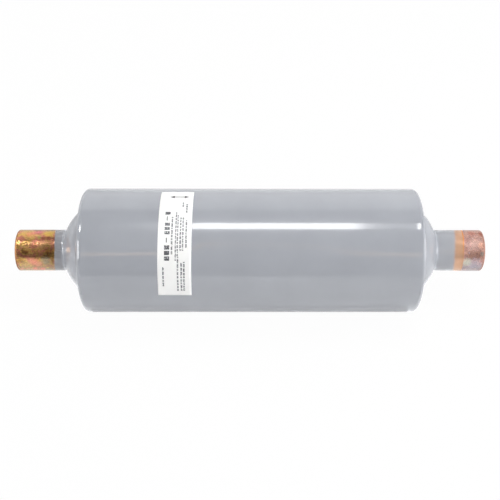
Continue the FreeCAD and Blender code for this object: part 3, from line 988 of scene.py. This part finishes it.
@dataclass
class SolderFitting:
    """A turned copper fitting, with the socket that takes the line's tube."""

    side: Side
    finish: Finish
    mouth: float = 142.6
    radius: float = FITTING_RADIUS
    inner_end: float = 108.29
    chamfer: float = 0.6
    passage: float = 10.0
    socket: float = 11.17
    socket_depth: float = 19.0
    socket_round: float = 0.15
    stop_round: float = 0.2
    mouth_round: float = 1.3
    segments: int = 192

    def profile(self) -> Profile:
        """Draws the fitting: spigot, rounded mouth, socket, stop and passage.

        Returns:
            The profile on the right-hand side.
        """
        stop, lip = self.mouth - self.socket_depth, self.mouth_round
        edge, turn = self.socket_round, self.stop_round
        made = Profile().line(self.inner_end, self.passage)
        made.line(self.inner_end, self.radius - self.chamfer)
        made.line(self.inner_end + self.chamfer, self.radius)
        made.run(self.mouth - lip, self.radius)
        made.arc((self.mouth - lip, self.radius - lip), (self.mouth, self.radius - lip), step=6)
        made.line(self.mouth, self.socket + edge)
        made.arc((self.mouth - edge, self.socket + edge), (self.mouth - edge, self.socket), step=30)
        made.line(stop + turn, self.socket)
        made.arc((stop + turn, self.socket - turn), (stop, self.socket - turn), step=30)
        return made.line(stop, self.passage)

    def build(self) -> list[Piece]:
        """Builds the fitting in place of its solid.

        Returns:
            The piece.
        """
        name, skins = f"{self.side.word}_solder_fitting", [self.finish.material()]
        piece = turned(name, self.profile().on(self.side), self.segments, skins)
        place(piece, "copper", f"{self.side.word}_fitting")
        return [piece]


@dataclass
class WrapLabel:
    """The film label round part of the shell, with bars for its print and a plain double arrow.

    A place on it is given in millimetres: across, from its middle towards the right-hand end, and
    up, from its middle round the shell towards the back.

    Attributes:
        blocks: bold print: its two edges across, and the two edges up of each piece.
        dashes: solid print, given in the same way.
        lines: small print: each line's middle across, its width and its two ends up.
        arrow: the arrow's two ends across and its place up.
        head: the length and the width of its heads.
    """

    middle: float = -44.1
    turn: float = 61.4
    width: float = 19.5
    arc: float = 109.8
    skew: float = 0.9
    shell: float = SHELL_RADIUS
    face: float = 38.238
    thickness: float = 0.12
    cells: tuple = (13, 110)
    blocks: tuple = (
        (-5.9, -2.9),
        ((14.2, 16.2), (6.9, 8.8), (4.3, 6.2), (1.7, 3.6), (-7.2, -4.7), (-10.4, -7.9), (-13.6, -11.1)),
    )
    dashes: tuple = ((-4.9, -4.4), ((10.2, 13.0), (-3.1, -0.4)))
    lines: tuple = (
        (-1.6, 0.9, -9.9, 12.7),
        (0.6, 0.8, -13.6, 16.3),
        (1.7, 0.8, -11.0, 14.0),
        (3.3, 0.9, -7.9, 12.2),
        (4.7, 0.9, -7.9, 12.2),
        (6.6, 0.9, -6.2, 10.4),
        (6.4, 1.0, 15.7, 22.6),
        (4.1, 0.8, 20.1, 23.9),
        (-6.5, 0.9, -29.6, -17.4),
        (1.9, 0.9, -33.0, -11.2),
        (4.0, 1.0, -33.0, -14.2),
        (5.5, 1.0, -33.0, -14.2),
    )
    word: tuple = (0.9, 2.6)
    space: float = 0.5
    shortest: float = 0.4
    most_words: int = 40
    arrow: tuple = (-4.1, 7.2, 29.5)
    head: tuple = (2.7, 2.7)
    shaft: float = 0.3
    arrow_lift: float = 0.008
    arrow_steps: int = 9

    def reach(self) -> float:
        """Gives half the label's length round the shell, in millimetres of the shell's face."""
        return math.radians(self.arc) / 2 * self.shell

    def on_shell(self, across: np.ndarray, up: np.ndarray, radius: float) -> np.ndarray:
        """Lays places on the shell: the skew shifts them along X, and up turns them about X.

        Args:
            across: places across the label.
            up: places up the label.
            radius: how far from the axis they lie.

        Returns:
            The grid of their points.
        """
        x = self.middle + across + self.skew * up / (2 * self.reach())
        return np.stack([x, *around(self.turn + np.degrees(up / self.shell), radius)], -1)

    def words(self) -> np.ndarray:
        """Breaks each line of small print into dashes: their lengths are drawn from a seeded run.

        Returns:
            The dashes, each as its two edges across and its two edges up.
        """
        chance = np.random.default_rng(7)
        made = []
        for across, width, low, high in self.lines:
            lengths = chance.uniform(*self.word, size=self.most_words)
            starts = low + np.concatenate([[0.0], np.cumsum(lengths + self.space)[:-1]])
            ends = np.minimum(starts + lengths, high)
            kept = ends - starts > self.shortest
            sides = np.array([across - width / 2, across + width / 2])
            made.append(np.column_stack([np.tile(sides, (kept.sum(), 1)), starts[kept], ends[kept]]))
        return np.concatenate(made)

    def sheet(self) -> Piece:
        """Builds the film: a grid with a line along every edge of the print, each cell bare or printed.

        Returns:
            The film with its print.
        """
        bars = [np.array([(*sides, *span) for span in spans]) for sides, spans in (self.blocks, self.dashes)]
        groups = (*bars, self.words())
        edges = np.concatenate(groups)
        lines = []
        for half, cells, first in ((self.width / 2, self.cells[0], 0), (self.reach(), self.cells[1], 2)):
            cuts = edges[:, first : first + 2].ravel()
            lines.append(np.unique(np.concatenate([np.linspace(-half, half, cells + 1), cuts])))
        mid_across, mid_up = np.meshgrid(*((line[1:] + line[:-1]) / 2 for line in lines), indexing="ij")
        skins = np.zeros(mid_across.shape, int)
        for number, group in enumerate(groups, start=1):
            box = group[:, :, None, None]
            between = (mid_across > box[:, 0]) & (mid_across < box[:, 1])
            between &= (mid_up > box[:, 2]) & (mid_up < box[:, 3])
            skins[between.any(axis=0)] = number
        corners = self.on_shell(*np.meshgrid(*lines, indexing="ij"), self.face)
        finishes = [f.material() for f in (FILM, BOLD_INK, SOLID_INK, FINE_INK)]
        film = mesh_piece("label_film", corners, finishes, skins.ravel())
        wall = film.modifiers.new("film", "SOLIDIFY")
        wall.thickness = self.thickness * MM
        wall.offset = -1
        return film

    def pointer(self) -> Piece:
        """Builds the double arrow: a strip as wide at each place as its shaft or its heads.

        Returns:
            The arrow, just proud of the film.
        """
        start, end, height = self.arrow
        long, half = self.head[0], self.head[1] / 2
        places = np.array([start, start + long, start + long, end - long, end - long, end])
        widths = np.array([0.0, half, self.shaft, self.shaft, half, 0.0])
        share = np.linspace(-1.0, 1.0, self.arrow_steps)
        up = height + widths[:, None] * share
        corners = self.on_shell(np.broadcast_to(places[:, None], up.shape), up, self.face + self.arrow_lift)
        return mesh_piece("label_arrow", corners, [SOLID_INK.material()])

    def build(self) -> list[Piece]:
        """Builds the label in place of its solid.

        Returns:
            The film and the arrow on it.
        """
        film, pointer = self.sheet(), self.pointer()
        place(film, "label_film", "label")
        place(pointer, "label_film")
        return [film, pointer]


@dataclass
class InnerParts:
    """Everything inside the shell: core, gaskets, screens, felt pads, check valves and spring."""

    finishes: tuple = (
        (DESICCANT, ("desiccant_core",)),
        (SPRING_WIRE, ("core_spring",)),
        (FIBRE, ("core_gasket",)),
        (FELT, ("outlet_pad",)),
        (
            PLATED_STEEL,
            ("outlet_screen", "valve_plate", "valve_bush", "inlet_flap", "outlet_disc", "outlet_cage"),
        ),
    )

    def dress(self) -> int:
        """Gives each solid inside the shell its finish.

        Returns:
            How many solids were dressed.
        """
        dressed = 0
        for finish, kinds in self.finishes:
            made = finish.material()
            for name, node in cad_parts.items():
                if name.endswith(kinds):
                    node.data.materials.clear()
                    node.data.materials.append(made)
                    dressed += 1
        return dressed


@dataclass(frozen=True)
class Glow(Finish):
    """A lit card. Its light changes along one direction and never paints the object.

    Attributes:
        strength: its light where a stop is one or white.
        stops: places along the fade, in millimetres or degrees, each with an amount of light or a colour.
        fade: the direction of the fade.
    """

    strength: float = 1.0
    stops: tuple = ((-1, 1.0), (1, 1.0))
    fade: Fade = Fade.ALONG

    def surface(self, add: Adder, where: Socket) -> Node:
        """Builds the light.

        Args:
            add: adds a node to the material's tree.
            where: the socket with object coordinates.

        Returns:
            The shader.
        """
        parts = add("SeparateXYZ", {"Vector": where}).outputs
        if self.fade is Fade.AROUND:
            front = add("Math", {0: parts["Y"], 1: -1.0}, operation="MULTIPLY")
            value, unit = add("Math", {0: parts["Z"], 1: front}, operation="ARCTAN2"), math.radians(1)
        else:
            value, unit = parts[self.fade.value], MM
        start, end = self.stops[0][0], self.stops[-1][0]
        share = add("MapRange", {"Value": value, "From Min": start * unit, "From Max": end * unit})
        shares = [(place - start) / (end - start) for place, _ in self.stops]
        tones = [tone if isinstance(tone, str) else grey_of(tone) for _, tone in self.stops]
        light = add("ValToRGB", {"Fac": share}, list(zip(shares, tones)))
        return add("Emission", {"Color": light, "Strength": self.strength})


@dataclass(frozen=True)
class PaleTable(Finish):
    """A plain white table. Camera and gloss see it nearly white, and it keeps the object's shadow."""

    white: float = 0.97
    paint: str = "#f4f4f4"

    def surface(self, add: Adder, where: Socket) -> Node:
        """Builds the table.

        Args:
            add: adds a node to the material's tree.
            where: the socket with object coordinates.

        Returns:
            The shader.
        """
        share = add("Math", {0: bright_rays(add), 1: self.white}, operation="MULTIPLY")
        matt = add("BsdfDiffuse", {"Color": self.paint})
        glow = add("Emission", {"Color": "#ffffff", "Strength": 1.0})
        return add("MixShader", {0: share, 1: matt, 2: glow})


def bright_rays(add: Adder) -> Node:
    """Finds the rays that should meet a white background.

    Args:
        add: adds a node to the tree that asks.

    Returns:
        A node that is one for camera, glossy and transmission rays, and zero for the rest.
    """
    path = add("LightPath").outputs
    gloss = add("Math", {0: path["Is Glossy Ray"], 1: path["Is Transmission Ray"]})
    return add("Math", {0: path["Is Camera Ray"], 1: gloss}, use_clamp=True)


@dataclass
class Studio:
    """White table and walls, a dark room behind the camera, a long softbox overhead and one at each side.

    Lengths are in millimetres, and turns in degrees about X, from the table's front edge over the
    top. Apart from the table and the lamps, everything is a card that gloss alone sees.

    Attributes:
        table_cards: each card's name, ends along X, height over the table and share of its light.
        walls: each part's name, the first of its two ends among room_ends, and its light.
        boxes: each softbox's name, distance behind the first, relative width, light and least light.
        spots: each spot's name, ends along X and light.
        side_boxes: each one's name, side, turns of its edges from the axis, height and light.
        key_lamp: its place along X, its sides and its watts.
        side_lamps: each lamp's name, place, sides and watts.
    """

    table_height: float = -SHELL_RADIUS
    table_reach: float = 4000.0
    table_light: float = 1.6
    table_levels: tuple = ((-300, 1.0), (0, 0.95), (60, 0.53), (120, 0.61), (300, 0.75))
    table_cards: tuple = (
        ("table_glow", (-4000.0, 4000.0), 0.05, 1.0),
        ("table_glow_left", (-4000.0, -135.0), 0.06, 0.8),
        ("table_glow_right", (135.0, 4000.0), 0.06, 0.82),
        ("table_glow_far_left", (-4000.0, -300.0), 0.07, 1.3),
    )
    shade_ends: tuple = (-100.0, 100.0)
    shade_lift: float = 0.08
    shade_steps: int = 12
    shade_levels: tuple = ((-70, 1.0), (-58, 0.85), (-44, 0.5), (-30, 0.4), (25, 0.4), (40, 0.5))
    room_radius: float = 750.0
    room_turns: tuple = (4.4, 36.64, 66.4, 103.6, 128.4)
    room_tones: tuple = ("#666668", "#5c5d60", "#7c7c7c", "#7e7e7e", "#787878")
    panel_turns: tuple = (4.4, 36.64, 66.4, 93.68, 128.4)
    left_tones: tuple = ("#5c5d60", "#5a5b5e", "#b2b2b2", "#d4d4d4", "#e8e8e8")
    right_tones: tuple = ("#a0a0a0", "#a8a8a8", "#f2f2f2", "#d4d4d4", "#d0d0d0")
    room_ends: tuple = (-1300.0, -262.0, 262.0, 1300.0)
    step_back: float = 12.0
    wall_top: float = 177.0
    bend_steps: int = 60
    wall_steps: int = 24
    ribbon_steps: int = 140
    walls: tuple = (("white_wall", 1, 1.5), ("white_wall_left", 0, 1.3), ("white_wall_right", 2, 0.72))
    box_turn: float = 93.4
    box_away: float = 600.0
    box_width: float = 119.0
    boxes: tuple = (
        ("softbox_overhead", 0.0, 1.0, 15.0, 0.0),
        ("softbox_near_glow", 4.0, 1.6, 3.0, 0.2),
        ("softbox_mid_glow", 8.0, 2.2, 1.3, 0.2),
        ("softbox_far_glow", 12.0, 3.3, 0.6, 0.2),
    )
    box_levels: tuple = (
        (-900, 0.5), (-370, 0.5), (-355, 1.2), (-281, 1.2), (-275, 2.4), (-252, 2.4), (-247, 0.5),
        (-205, 0.25), (-180, 0.3), (-150, 0.7), (-131, 1.2), (-116, 1.8), (-103, 3.0), (-95, 15.0),
        (136, 15.0), (142, 11.0), (147, 8.2), (152, 6.0), (158, 4.4), (164, 3.4), (180, 2.2),
        (214, 1.6), (235, 1.2), (242, 0.5), (900, 0.5),
    )
    spot_away: float = 596.0
    spots: tuple = (("left_spot", (-640.0, -380.0), 44.0), ("right_spot", (213.0, 232.0), 16.0))
    ribbon_ends: tuple = (-260.0, 300.0)
    ribbon_line: tuple = ((-170, -75, -66, 25, 90, 130, 150, 235, 300), (43, 45, 61, 60, 57, 49, 45, 42, 41))
    ribbon_half: float = 2.6
    ribbon_light: float = 2.1
    ribbon_before: float = 40.0
    ribbon_ease: int = 7
    ribbon_tones: tuple = (
        (-260, "#ffd29a"), (-58.4, "#ffd29a"), (-24.8, "#a8916e"), (109.6, "#a8916e"), (154.4, "#ffd29a"),
        (300, "#ffd29a"),
    )
    side_away: float = 1100.0
    side_tilt: float = 50.0
    side_boxes: tuple = (
        ("left_softbox", Side.LEFT, (13.0, 23.0), 440.0, 7.0),
        ("left_reflector", Side.LEFT, (23.0, 38.0), 440.0, 17.0),
        ("right_softbox", Side.RIGHT, (1.0, 19.0), 440.0, 12.0),
        ("right_reflector", Side.RIGHT, (34.0, 47.0), 300.0, 4.0),
    )
    key_lamp: tuple = (130.0, (260.0, 120.0), 1.3)
    side_lamps: tuple = (
        ("left_lamp", (-900.0, -27.0, 27.0), (500.0, 500.0), 2.3),
        ("right_lamp", (873.0, -135.0, 162.0), (500.0, 500.0), 3.6),
    )
    fill: float = 0.68

    def card(self, name: str, grid: np.ndarray, light: Glow) -> None:
        """Makes a card that only gloss sees.

        Args:
            name: its name.
            grid: its points.
            light: its light.
        """
        made = mesh_piece(name, grid, [light.material()])
        for ray in ("camera", "diffuse", "shadow", "transmission", "volume_scatter"):
            setattr(made, f"visible_{ray}", False)

    def table(self) -> None:
        """Lays the table, lit cards a hair above it and the shell's shadow on them: all flat in X and Y."""
        far = np.array([-1.0, 1.0]) * self.table_reach
        top = [PaleTable("white table, matt").material()]
        mesh_piece("table", carried(far, far, self.table_height), top)
        for name, ends, lift, share in self.table_cards:
            lit = Glow(f"light, {name}", self.table_light * share, self.table_levels, Fade.ACROSS)
            self.card(name, carried(ends, far, self.table_height + lift), lit)
        dim = Glow("light, table in shadow", self.table_light, self.shade_levels, Fade.ACROSS)
        y = np.linspace(self.shade_levels[0][0], self.shade_levels[-1][0], self.shade_steps)
        self.card("table_shade", carried(self.shade_ends, y, self.table_height + self.shade_lift), dim)

    def room(self) -> None:
        """Bends the dark room and the panels that the fittings mirror: part cylinders about X."""
        ends, near = self.room_ends, self.room_radius - self.step_back
        bends = (
            ("dark_room", (ends[0], ends[3]), self.room_radius, self.room_turns, self.room_tones),
            ("left_panel", ends[:2], near, self.panel_turns, self.left_tones),
            ("right_panel", ends[2:], near, self.panel_turns, self.right_tones),
        )
        for name, x, reach, turns, tones in bends:
            line = around(np.linspace(turns[0], turns[-1], self.bend_steps), reach)
            stops = tuple(zip(turns, tones))
            self.card(name, carried(x, *line), Glow(f"light, {name}", stops=stops, fade=Fade.AROUND))

    def overhead(self, ends: tuple, away: float, width: float) -> np.ndarray:
        """Lays out a flat strip along X, square to the line from the shell to its middle.

        Args:
            ends: its places along X.
            away: its distance from the middle of the shell.
            width: its width.

        Returns:
            Its grid of points.
        """
        y, z = around(self.box_turn, away)
        side_y, side_z = around(self.box_turn + 90, np.array([-0.5, 0.5]) * width)
        return carried(ends, y + side_y, z + side_z)

    def softboxes(self) -> None:
        """Hangs the long softbox, the weaker glows behind it and the short bright spots before it."""
        brightest = max(light for _, light in self.box_levels)
        ends = (self.box_levels[0][0], 0.0, self.box_levels[-1][0])
        for name, behind, wider, peak, base in self.boxes:
            # The glows rest on the room's own light, so that they only ever add to it.
            lights = ((place, base + (peak - base) * light / brightest) for place, light in self.box_levels)
            stops = tuple((place, light / peak) for place, light in lights)
            grid = self.overhead(ends, self.box_away + behind, self.box_width * wider)
            self.card(name, grid, Glow(f"light, {name}", peak, stops))
        for name, spot_ends, strength in self.spots:
            grid = self.overhead(spot_ends, self.spot_away, self.box_width)
            self.card(name, grid, Glow(f"light, {name}", strength))

    def white_walls(self) -> None:
        """Stands the white wall that closes the studio behind the drier: part cylinders about X."""
        turns = np.linspace(self.room_turns[-1], self.wall_top, self.wall_steps)
        line = around(turns, self.room_radius + self.step_back)
        for name, first, strength in self.walls:
            ends = self.room_ends[first : first + 2]
            self.card(name, carried(ends, *line), Glow(f"light, {name}", strength))

    def ribbon(self) -> None:
        """Hangs the thin warm strip that the gloss shows as a faint wavering line.

        Its height follows a line through given turns, eased between them, and its edges run
        alongside at half its width.
        """
        x = np.linspace(*self.ribbon_ends, self.ribbon_steps)
        turn = np.interp(x, *self.ribbon_line)
        window = np.ones(self.ribbon_ease) / self.ribbon_ease
        eased = np.convolve(np.pad(turn, self.ribbon_ease // 2, mode="edge"), window, mode="valid")
        turns = eased[:, None] + np.array([-1.0, 1.0]) * self.ribbon_half
        line = around(turns, self.room_radius - self.ribbon_before)
        warm = Glow("light, warm ribbon", self.ribbon_light, self.ribbon_tones)
        self.card("warm_ribbon", carried(x, *line), warm)

    def sides(self) -> None:
        """Stands softboxes and reflectors at both sides, square to the line to the shell.

        Their direction turns from the shell's axis towards the camera's height, and their edges lie
        along that turn and across it.
        """
        front = np.array([0.0, *around(self.side_tilt, 1.0)])
        for name, side, turns, height, strength in self.side_boxes:
            low, high = np.radians(turns)
            middle, half = (low + high) / 2, (high - low) / 2
            axis = np.array([side.value, 0.0, 0.0])
            out = axis * math.cos(middle) + front * math.sin(middle)
            along = front * math.cos(middle) - axis * math.sin(middle)
            swing = np.array([-1.0, 1.0])[:, None, None] * math.tan(half) * along
            lift = np.array([-0.5, 0.5])[:, None] * height * np.cross(out, along)
            self.card(name, self.side_away * (out + swing) + lift, Glow(f"light, {name}", strength))

    def lamps(self) -> None:
        """Hangs the lamps that light the enamel itself, facing the drier. Gloss sees the cards instead."""
        shift, size, power = self.key_lamp
        key = ("key_lamp", (shift, *around(self.box_turn, self.box_away)), size, power)
        for name, spot, size, power in (key, *self.side_lamps):
            data = bpy.data.lights.new(name, "AREA")
            data.shape = "RECTANGLE"
            data.size, data.size_y = (side * MM for side in size)
            data.energy = power
            lamp = bpy.data.objects.new(name, data)
            lamp.location = Vector(spot) * MM
            lamp.rotation_euler = (-lamp.location).to_track_quat("-Z", "Y").to_euler()
            lamp.visible_camera = False
            lamp.visible_glossy = False
            bpy.context.scene.collection.objects.link(lamp)

    def world(self) -> None:
        """Makes the surroundings white to camera and gloss, and a plain pale fill to the rest."""
        made = bpy.data.worlds.new("white studio")
        made.use_nodes = True
        made.node_tree.nodes.clear()
        add = partial(add_node, made.node_tree)
        pale = (self.fill, self.fill, self.fill, 1.0)
        colour = add("Mix", {"Factor": bright_rays(add), "A": pale, "B": "#ffffff"}, data_type="RGBA")
        add("OutputWorld", {"Surface": add("Background", {"Color": colour, "Strength": 1.0})})
        bpy.context.scene.world = made

    def build(self) -> None:
        """Sets up table, room, softboxes, walls, lamps and surroundings."""
        self.table()
        self.room()
        self.softboxes()
        self.white_walls()
        self.ribbon()
        self.sides()
        self.lamps()
        self.world()


@dataclass
class PhotoCamera:
    """The photograph's camera: a long lens, looking down on the shell from its front."""

    lens: float = 61.31
    sensor: float = 36.0
    clip: tuple = (0.01, 50.0)
    elevation: float = 50.0
    yaw: float = 0.65
    roll: float = 0.04
    middle: tuple = (0.277, -0.20, -527.4)

    def build(self) -> None:
        """Places the camera so that the drier's middle stands where the photograph shows it."""
        turns = (("Y", self.yaw), ("Z", -self.roll), ("X", self.elevation - 90))
        swing, tilt, level = (Matrix.Rotation(math.radians(angle), 4, axis) for axis, angle in turns)
        seen = Matrix.Translation(Vector(self.middle) * MM) @ swing @ tilt @ level
        data = bpy.data.cameras.new("photo camera")
        data.lens = self.lens
        data.sensor_width = self.sensor
        data.clip_start, data.clip_end = self.clip
        camera = bpy.data.objects.new("photo_camera", data)
        camera.matrix_world = seen.inverted()
        bpy.context.scene.collection.objects.link(camera)
        bpy.context.scene.camera = camera


def main() -> None:
    """Builds the drier's pieces, the studio and the camera, and reports each."""
    logging.basicConfig(level=logging.INFO, format="%(name)s: %(message)s")
    bpy.context.scene.view_settings.view_transform = "Standard"
    PhotoCamera().build()
    fittings = (SolderFitting(Side.LEFT, LEFT_COPPER), SolderFitting(Side.RIGHT, RIGHT_COPPER))
    for assembly in (EnamelledShell(), *fittings, WrapLabel()):
        for piece in assembly.build():
            log.info("%s: %d faces", piece.name, len(piece.data.polygons))
    log.info("inner parts dressed: %d", InnerParts().dress())
    Studio().build()
    log.info("studio and camera stand")


if __name__ == "__main__":
    main()
